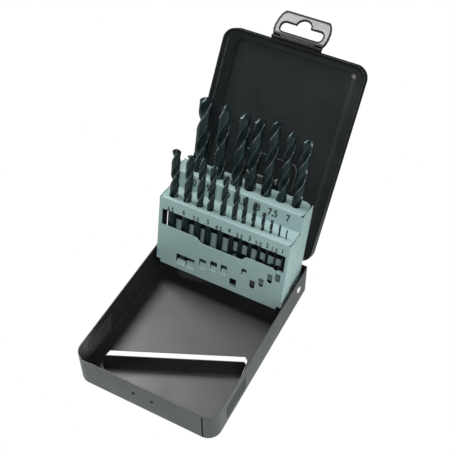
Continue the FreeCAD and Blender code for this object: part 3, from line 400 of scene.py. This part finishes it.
def ink():
    """Printed numbers: black ink, slightly uneven."""
    shader = Shader("number_ink")
    cloud = shader.noise(1400, 3)
    colour = shader.ramp(cloud, (0.3, (0.004, 0.005, 0.006)), (0.8, (0.014, 0.017, 0.018)))
    shader.set(Base_Color=colour, Roughness=shader.ramp(cloud, (0.2, 0.42), (0.8, 0.6)))
    return shader.mat


CASE = satin_black("case_paint", (0.0044, 0.0046, 0.0046), 0.45, spec=1.0, ribs=True)
LID = satin_black("lid_paint", (0.0037, 0.0072, 0.0076), 0.43, spec=0.75)
CLIP = satin_black("clip_paint", (0.0026, 0.0030, 0.0030), 0.45, spec=0.4)
LINK = satin_black("link_paint", (0.010, 0.012, 0.013), 0.32)
BRACKET = satin_black("bracket_paint", (0.006, 0.008, 0.008), 0.40, plate=LID_FACE)
HOLDER_PAINT = holder_paint()
OXIDE = oxide()
MARGIN = worn_margin()
RIVET = bright_steel("rivet_steel", (0.84, 0.82, 0.76), metal=0.15, gloss=0.38)
PIN = bright_steel("pin_steel", (0.42, 0.43, 0.44))
SMOKE = smoke_plastic()
SMOKE_EDGE = satin_black("smoke_edge", (0.004, 0.004, 0.007), 0.55, spec=0.2)
# Near-black paint for sheets that stand in for shade: in the grip grooves, the front seam and the
# front holes.
SHADOW = satin_black("painted_shade", (0.0012, 0.0012, 0.0012), 0.85, spec=0.1)
STRIP_PAINT = holder_paint("strip_paint", shaded=False)
INK = ink()

FINISH = {
    "base_tray": CASE, "lid_pan": LID, "hanger_clip": CLIP, "hinge_pin": PIN,
    "pivot_bracket_left": LINK, "pivot_bracket_right": LINK, "lid_bracket": BRACKET,
    "lift_link": LINK, "link_pin": PIN, "hanger_pin": PIN, "bracket_rivet_left": RIVET,
    "bracket_rivet_right": RIVET, "index_front_shell": HOLDER_PAINT,
    "index_rear_shell": HOLDER_PAINT, "hanger_tab": SMOKE,
}
for name, finish in FINISH.items():
    for slot in NODES[name].material_slots:
        slot.link = "OBJECT"
        slot.material = finish


# ---------------------------------------------------------------- drills
FOOT_GAP = 0.02         # mm left between a drill's foot and the tongue it stands on
SIDES = 60              # corners of each ring
RINGS_A_TURN = 30
HELIX = math.radians(27)
HALF_POINT = math.radians(59)
SHANK = 0.995           # radius of the shank, as a share of the full radius
WEB = 0.30              # radius at the bottom of a flute
FLUTE_RISE = 0.68       # and how much higher the flute is at its lips
FLUTE_CURVE = 2.2
LAND = 0.965            # radius behind the margin
FLUTE_END = 0.47        # where the flute ends and the land starts, as shares of half a turn;
MARGIN_END = 0.53       # the margin lies between them
POINT_RINGS = (1.0, 0.86, 0.7, 0.5, 0.3, 0.12)      # radii of the point's rings, as shares
RELIEF = 0.16           # fall of the point behind a cutting edge, as a share of its radius
SHARP = math.radians(38)
FLUTES_FROM = 50        # mm up the holder; the front row's flutes start no lower
SPIN = 2.1              # each drill is turned this much further than the last, in radians


def label_of(diameter):
    return "drill_" + str(float(diameter)).replace(".", "_")


def half_turn(angle):
    """Where an angle lies in its half of a two-flute drill, from 0 to 1."""
    return (angle % math.pi) / math.pi


def section(angle):
    """The radius round a two-flute drill, as a share of the full radius."""
    share = half_turn(angle)
    if share < FLUTE_END:
        return WEB + FLUTE_RISE * abs(share / FLUTE_END * 2 - 1) ** FLUTE_CURVE
    return 1.0 if share < MARGIN_END else LAND


def drill_mesh(name, diameter, length, flute):
    """A twist drill standing on its shank, built ring by ring; millimetres."""
    radius = diameter / 2
    angles = [2 * math.pi * step / SIDES for step in range(SIDES)]
    pitch = math.pi * diameter / math.tan(HELIX)
    point = radius / math.tan(HALF_POINT)
    start = length - flute
    run_out = min(flute * 0.22, diameter * 1.3)

    # Each level: its height, how much of the flute's depth it has, and its scale.  The shank
    # has a chamfered foot, and the body ends just below the corners of the point.
    levels = [(FOOT_GAP, 0.0, 0.90), (0.06 * diameter, 0.0, SHANK), (start * 0.5, 0.0, SHANK)]
    below = len(levels)
    count = max(24, int(flute / pitch * RINGS_A_TURN))
    for ring in range(count + 1):
        level = start + (length - point * 1.02 - start) * ring / count
        depth = min(1.0, max(0.0, (level - start) / run_out))
        levels.append((level, depth * depth * (3 - 2 * depth), 1.0))
    rings = [[(radius * scale * (1 + (section(angle) - 1) * depth), angle, level)
              for angle in angles] for level, depth, scale in levels]

    # The ground point: shrinking rings, each cutting edge ahead of the relief behind it.
    for scale in POINT_RINGS:
        ring = []
        for angle in angles:
            size = radius * section(angle) * scale
            behind = (half_turn(angle) - FLUTE_END) / (1 - FLUTE_END)
            relief = RELIEF * size * max(0.0, behind)
            ring.append((size, angle, length - size / math.tan(HALF_POINT) - relief))
        rings.append(ring)

    points = []
    for ring in rings:
        for size, angle, level in ring:
            twist = angle + max(0.0, level - start) / pitch * 2 * math.pi
            points.append((size * math.cos(twist), size * math.sin(twist), level))
    faces = []
    margins = []
    for number in range(len(rings) - 1):
        worn = below + count * 0.12 < number < len(levels)      # past the flutes' run-out
        low = number * SIDES
        high = low + SIDES
        for step in range(SIDES):
            following = (step + 1) % SIDES
            faces.append((low + step, low + following, high + following, high + step))
            share = half_turn(2 * math.pi * (step + 0.5) / SIDES)
            margins.append(worn and FLUTE_END <= share < MARGIN_END)
    faces.append(tuple(reversed(range(SIDES))))
    top = len(points)
    points.append((0, 0, length))
    last = (len(rings) - 1) * SIDES
    faces += [(last + step, last + (step + 1) % SIDES, top) for step in range(SIDES)]

    mesh = bpy.data.meshes.new(name)
    mesh.from_pydata(points, [], faces)
    mesh.materials.append(OXIDE)
    mesh.materials.append(MARGIN)
    for polygon, margin in zip(mesh.polygons, margins):
        polygon.material_index = int(margin)
    mesh.validate()
    mesh.shade_smooth()
    mesh.set_sharp_from_angle(angle=SHARP)
    return mesh


spin = 0.0
for row, rear in ((FRONT_ROW, False), (REAR_ROW, True)):
    for diameter, length, flute, across, foot in row:
        node = label_of(diameter)
        if rear:
            depth = REAR_ROW_DEPTH - (REAR_HIGH - foot) * math.tan(LEAN)
            own = Matrix.Translation((across, depth, foot)) @ Matrix.Rotation(-LEAN, 4, "X")
        else:
            own = Matrix.Translation((across, FRONT_ROW_DEPTH, foot))
            flute = min(flute, foot + length - FLUTES_FROM)
        mesh = drill_mesh("fluted_" + node, diameter, length, flute)
        spin += SPIN
        mesh.transform(MM @ HOLDER @ own @ Matrix.Rotation(spin, 4, "Z"))
        piece = placed(mesh)
        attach(piece, node + "_body")
        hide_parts(node)


# ---------------------------------------------------------------- trim
def fill(outer, hole):
    """The corners of a flat outline with a hole, and the triangles that fill it, facing up.

    The triangles are sorted, because the fill itself gives them in any order.
    """
    work = bmesh.new()
    edges = []
    for loop in (outer, hole):
        corners = [work.verts.new((x, y, 0)) for x, y in loop]
        edges += [work.edges.new((first, second))
                  for first, second in zip(corners, corners[1:] + corners[:1])]
    bmesh.ops.triangle_fill(work, use_beauty=True, edges=edges)
    work.verts.index_update()
    triangles = []
    for face in work.faces:
        corners = [corner.index for corner in face.verts]
        face.normal_update()
        if face.normal.z < 0:
            corners.reverse()
        first = corners.index(min(corners))
        triangles.append(tuple(corners[first:] + corners[:first]))
    work.free()
    return list(outer) + list(hole), sorted(triangles)


def slab(name, outer, low, high, place, hole=()):
    """A flat piece between two levels, cut to an outline and with up to one hole."""
    corners, triangles = fill(outer, hole)
    count = len(corners)
    edges = [edge for a, b, c in triangles for edge in ((a, b), (b, c), (c, a))]
    known = set(edges)
    faces = [(c, b, a) for a, b, c in triangles]
    faces += [(a + count, b + count, c + count) for a, b, c in triangles]
    faces += [(a, b, b + count, a + count) for a, b in edges if (b, a) not in known]
    mesh = bpy.data.meshes.new(name)
    mesh.from_pydata([(x, y, level) for level in (low, high) for x, y in corners], [], faces)
    mesh.transform(place)
    return placed(mesh)


def arc(middle, radius, start, end, steps=8):
    """Points on an arc; degrees."""
    found = []
    for step in range(steps + 1):
        angle = math.radians(start + (end - start) * step / steps)
        found.append((middle[0] + radius * math.cos(angle), middle[1] + radius * math.sin(angle)))
    return found


def offset(loop, inset):
    """A loop moved inwards by a distance."""
    moved = []
    for before, here, after in zip(loop[-1:] + loop[:-1], loop, loop[1:] + loop[:1]):
        first = (Vector(here) - Vector(before)).normalized()
        second = (Vector(after) - Vector(here)).normalized()
        side = Vector((-first.y - second.y, first.x + second.x)).normalized()
        moved.append(tuple(Vector(here) + side * inset))
    return moved


# A strip of the same sheet behind the long slot, seen as pale squares between the shanks.
STRIP = ((-48.0, 31.3), (-48.0, 15.5), (-9.5, 15.5), (-9.5, 19.0), (-1.0, 19.0), (-1.0, 23.1),
         (13.6, 23.1), (13.6, 20.7), (21.0, 20.7), (21.0, 25.1), (42.2, 25.1), (42.2, 31.3))
STRIP_BACK = -17.78     # just clear of the inner plate; an upright outline's levels run forwards
STRIP_FRONT = -17.4
strip = slab("index_strip", STRIP, STRIP_BACK, STRIP_FRONT, MM @ HOLDER @ UPRIGHT)
strip.data.materials.append(STRIP_PAINT)
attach(strip, "holder")

# Painted shade: dark sheets in the grooves between the pressed ribs of each grip, outside and
# inside.
OUTER_WALL = 55.53      # the grip's ground, as distances from the middle of the case
INNER_WALL = 54.98
GRIP_FRONT, GRIP_BACK = -54.7, -29.3
bars = [RIB_MIDDLE - 0.5 + RIB_PITCH * rib for rib in range(RIBS)]
outside = [(low + 1.0, low + RIB_PITCH) for low in bars[:-1]] + [(5.9, bars[0]), (19.02, 19.6)]
inside = [(low + 0.05, low + 0.95) for low in bars]
for side, name in ((1, "right"), (-1, "left")):
    for spans, level, end in ((outside, OUTER_WALL, "out"), (inside, INNER_WALL, "in")):
        corners = []
        faces = []
        for low, high in spans:
            first = len(corners)
            corners += [(level * side, GRIP_FRONT, low), (level * side, GRIP_BACK, low),
                        (level * side, GRIP_BACK, high), (level * side, GRIP_FRONT, high)]
            faces.append(tuple(range(first, first + 4)))
        piece = placed(mesh_of("grip_groove_shade_" + name + "_" + end, corners, faces, SHADOW))
        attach(piece, "case")

# Painted shade in the open seam at the front right corner: a dark sheet just in front of the
# rounded wall.
FRONT_WALL = -74
CORNER_RADIUS = 10
CORNER_START = 46       # where the front wall starts to turn
SEAM_FOOT, SEAM_TOP = 1.0, 27.3
corners = []
faces = []
for number, across in enumerate((46.25, 46.65, 47.0, 47.3)):
    turned = math.sqrt(CORNER_RADIUS ** 2 - (across - CORNER_START) ** 2)
    level = max(FRONT_WALL + 0.001, FRONT_WALL + CORNER_RADIUS - turned - 0.015)
    corners += [(across, level, SEAM_FOOT), (across, level, SEAM_TOP)]
    if number:
        faces.append((2 * number - 2, 2 * number, 2 * number + 1, 2 * number - 1))
piece = placed(mesh_of("front_seam_shade", corners, faces, SHADOW))
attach(piece, "case")

# Painted shade in the two small holes of the front wall: dark cups, as rings of a radius and a
# depth.
DENT_SIDES = 24
DENT_HIGH = 16
DENT_RINGS = ((1.36, 0.12), (1.2, 0.35), (0.8, 0.62), (0.3, 0.74))
for across, name in ((-7.3, "left"), (7.3, "right")):
    corners = []
    faces = []
    for ring, (radius, sunk) in enumerate(DENT_RINGS):
        for step in range(DENT_SIDES):
            angle = 2 * math.pi * step / DENT_SIDES
            corners.append((across + radius * math.cos(angle), FRONT_WALL + sunk,
                            DENT_HIGH + radius * math.sin(angle)))
            if ring:
                low = (ring - 1) * DENT_SIDES
                following = (step + 1) % DENT_SIDES
                faces.append((low + step, low + following,
                              low + DENT_SIDES + following, low + DENT_SIDES + step))
    faces.append(tuple(range(3 * DENT_SIDES, 4 * DENT_SIDES)))
    mesh = mesh_of("front_dent_shade_" + name, corners, faces, SHADOW)
    mesh.shade_smooth()
    piece = placed(mesh)
    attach(piece, "case")

# The moulded rims of the hanger tab: one round its outline and one round its slot.
REACH = 22.3            # from the tab's hinge to its free edge
RIM_HALF = 0.84         # half the rims' thickness
outline = mirrored([(19.4, 1.9), (20.7, REACH * 0.24), (21.1, REACH * 0.41),
                    (20.7, REACH * 0.66), (19.5, REACH * 0.86)]
                   + arc((16.3, REACH - 2.1), 2.0, 18, 90))
slot_loop = mirrored(arc((13.2, 8.4), 3.2, -90, 0) + arc((13.2, 10.0), 3.2, 0, 90)
                     + arc((0, 13.2), 5.4, 0, 90))
for name, outer, inner in (
        ("hanger_rim", offset(outline, 0.12), offset(outline, 1.2)),
        ("hanger_slot_rim", offset(slot_loop, -1.0), offset(slot_loop, -0.06))):
    rim = slab(name, outer, -RIM_HALF, RIM_HALF, frame_at(TAB_HINGE, TAB_UP, TAB_FACE), inner)
    rim.data.materials.append(SMOKE_EDGE)
    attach(rim, "hanger")

# The clip's upper lip, which closes the gap behind the tab's barrel.
LIP_HALF = 14.0
LIP_NEAR, LIP_FAR = 1.25, 1.85          # from the hinge towards the lid
LIP_IN, LIP_OUT = 0.8, 1.38             # from the hinge towards the lid's outside
lip_outline = [(-LIP_HALF, LIP_NEAR), (LIP_HALF, LIP_NEAR), (LIP_HALF, LIP_FAR),
               (-LIP_HALF, LIP_FAR)]
lip = slab("clip_lip", lip_outline, LIP_IN, LIP_OUT, frame_at(TAB_HINGE, LID_DOWN, LID_FACE))
lip.data.materials.append(CLIP)
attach(lip, "lid")


# ---------------------------------------------------------------- printed numbers
CAPITAL = 1.42          # font size over the height of a figure
NARROW = 0.74           # width of the figures over the font's own
PROUD = 0.013           # mm that the ink's middle stands off the sheet
INK_HALF = 0.000012     # half the ink's thickness, in metres
FRONT_BASE, FRONT_STAGGER, FRONT_HEIGHT = 50.9, 1.6, 4.15
REAR_BASE, REAR_HEIGHT = 66.9, 5.8
FRONT_WEIGHT, REAR_WEIGHT = 0.00015, 0.00022        # how much bolder, in metres
FRONT_NUMBERS = (("6,5", -43.2), ("6", -32.3), ("5,5", -22.1), ("5", -12.2), ("4,5", -3.4),
                 ("4", 5.2), ("3,5", 13.3), ("3", 21.4), ("2,5", 28.5), ("2", 35.3),
                 ("1,5", 41.0), ("1", 47.2))
REAR_NUMBERS = (("10", -36.0), ("9,5", -20.6), ("9", -6.7), ("8,5", 4.2), ("8", 17.7),
                ("7,5", 29.1), ("7", 41.0))


def print_number(text, across, up, face, height, weight):
    """One printed number on a face of the holder; millimetres, and metres for the weight."""
    curve = bpy.data.curves.new("size_" + text.replace(",", "_"), "FONT")
    curve.body = text
    curve.size = height * CAPITAL * MILLIMETRE
    curve.align_x = "CENTER"
    curve.align_y = "BOTTOM_BASELINE"
    curve.extrude = INK_HALF
    curve.offset = weight
    curve.resolution_u = 4
    curve.space_character = 1.05
    curve.materials.append(INK)
    piece = placed(curve)
    spot = (HOLDER @ Vector((across, face - PROUD, up))) * MILLIMETRE
    piece.matrix_world = (Matrix.Translation(spot) @ HOLDER.to_3x3().to_4x4() @ UPRIGHT
                          @ Matrix.Diagonal((NARROW, 1, 1, 1)))
    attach(piece, "holder")


for place, (text, across) in enumerate(FRONT_NUMBERS):
    stagger = FRONT_STAGGER if place % 2 else 0.0
    print_number(text, across, FRONT_BASE + stagger, 0, FRONT_HEIGHT, FRONT_WEIGHT)
for text, across in REAR_NUMBERS:
    print_number(text, across, REAR_BASE, REAR_FACE, REAR_HEIGHT, REAR_WEIGHT)


# ---------------------------------------------------------------- studio
FLOOR_REACH = 3.0
FLOOR_LEVEL = -0.0006
FLOOR_GLOW = 1.15                   # what the object mirrors of the floor, over its tone
FLOOR_TINT = (0.92, 1.0, 0.985)
WHITE = (1, 1, 1)


def seen_through(tree):
    """1 for what the camera sees, directly or through clear plastic."""
    path = tree.nodes.new("ShaderNodeLightPath").outputs
    seen = tree.nodes.new("ShaderNodeMath")
    seen.operation = "MAXIMUM"
    tree.links.new(path["Is Camera Ray"], seen.inputs[0])
    tree.links.new(path["Is Transmission Ray"], seen.inputs[1])
    return seen.outputs[0]


def stage_floor():
    """A light table: white to the camera, and darker towards the back in what it lights."""
    mesh = bpy.data.meshes.new("studio_floor")
    mesh.from_pydata([(-FLOOR_REACH, -FLOOR_REACH, FLOOR_LEVEL),
                      (FLOOR_REACH, -FLOOR_REACH, FLOOR_LEVEL),
                      (FLOOR_REACH, FLOOR_REACH, FLOOR_LEVEL),
                      (-FLOOR_REACH, FLOOR_REACH, FLOOR_LEVEL)], [], [(0, 1, 2, 3)])
    floor = placed(mesh)
    shader = Shader("studio_floor")
    tree = shader.tree
    split = shader.node("ShaderNodeSeparateXYZ", Vector=shader.coords)
    back = shader.step(split.outputs["Y"], -0.2, 0.3)
    level = shader.ramp(back, (0.10, 0.62), (0.24, 0.88), (0.38, 0.72), (0.60, 0.54), (0.76, 0.02))
    seen = seen_through(tree)
    strength = tree.nodes.new("ShaderNodeMix")
    shader.feed(strength.inputs[0], seen)
    shader.feed(strength.inputs[2], shader.math("MULTIPLY", level, FLOOR_GLOW))
    shader.feed(strength.inputs[3], 1.0)
    glow = shader.node("ShaderNodeEmission", Color=shader.mix(seen, FLOOR_TINT, WHITE),
                       Strength=strength.outputs[0])
    tree.links.new(glow.outputs[0], tree.nodes["Material Output"].inputs["Surface"])
    mesh.materials.append(shader.mat)


def area(name, place, target, size, power):
    """A soft square light pointed at a target."""
    light = bpy.data.lights.new(name, "AREA")
    light.shape = "RECTANGLE"
    light.size = light.size_y = size
    light.energy = power
    lamp = placed(light)
    lamp.location = place
    aim = Vector(target) - Vector(place)
    lamp.rotation_euler = aim.to_track_quat("-Z", "Y").to_euler()


def studio_world():
    """White behind the object, and a dim sky, darker below, for everything it lights."""
    world = bpy.data.worlds.new("studio")
    world.use_nodes = True
    tree = world.node_tree
    sky = tree.nodes["Background"]
    coords = tree.nodes.new("ShaderNodeTexCoord")
    split = tree.nodes.new("ShaderNodeSeparateXYZ")
    tree.links.new(coords.outputs["Generated"], split.inputs[0])
    ramp = tree.nodes.new("ShaderNodeValToRGB")
    stops = ((0.05, (0.035, 0.038, 0.04, 1)), (0.85, (0.085, 0.09, 0.093, 1)))
    for element, (place, colour) in zip(ramp.color_ramp.elements, stops):
        element.position = place
        element.color = colour
    tree.links.new(split.outputs["Z"], ramp.inputs[0])
    tree.links.new(ramp.outputs[0], sky.inputs["Color"])
    sky.inputs["Strength"].default_value = 1.0
    white = tree.nodes.new("ShaderNodeBackground")
    white.inputs["Color"].default_value = (*WHITE, 1)
    white.inputs["Strength"].default_value = 1.0
    mix = tree.nodes.new("ShaderNodeMixShader")
    tree.links.new(seen_through(tree), mix.inputs[0])
    tree.links.new(sky.outputs[0], mix.inputs[1])
    tree.links.new(white.outputs[0], mix.inputs[2])
    tree.links.new(mix.outputs[0], tree.nodes["World Output"].inputs["Surface"])
    bpy.context.scene.world = world


stage_floor()
studio_world()
area("overhead", (-0.58, 0.25, 1.05), (0, 0, 0.02), 0.44, 10.6)
area("key", (0.39, -0.68, 1.06), (0, 0.03, 0.06), 0.26, 8.2)
area("right_fill", (1.18, -0.12, 0.36), (0, 0.03, 0.06), 0.45, 8.0)

# The camera: where it stands, and the directions of its picture.
EYE = Vector((0.20143, -0.32485, 0.55102))
RIGHT = Vector((0.88299, 0.46936, -0.00648))
DOWN = Vector((0.34765, -0.66318, -0.66282))
AHEAD = Vector((-0.3154, 0.58301, -0.74875))
camera_data = bpy.data.cameras.new("camera")
camera_data.lens = 71.276
camera_data.sensor_width = 36
camera_data.clip_start = 0.01
camera = placed(camera_data)
camera.matrix_world = Matrix([(RIGHT[axis], -DOWN[axis], -AHEAD[axis], EYE[axis])
                              for axis in range(3)] + [(0, 0, 0, 1)])
bpy.context.scene.camera = camera
bpy.context.scene.view_settings.view_transform = "Standard"
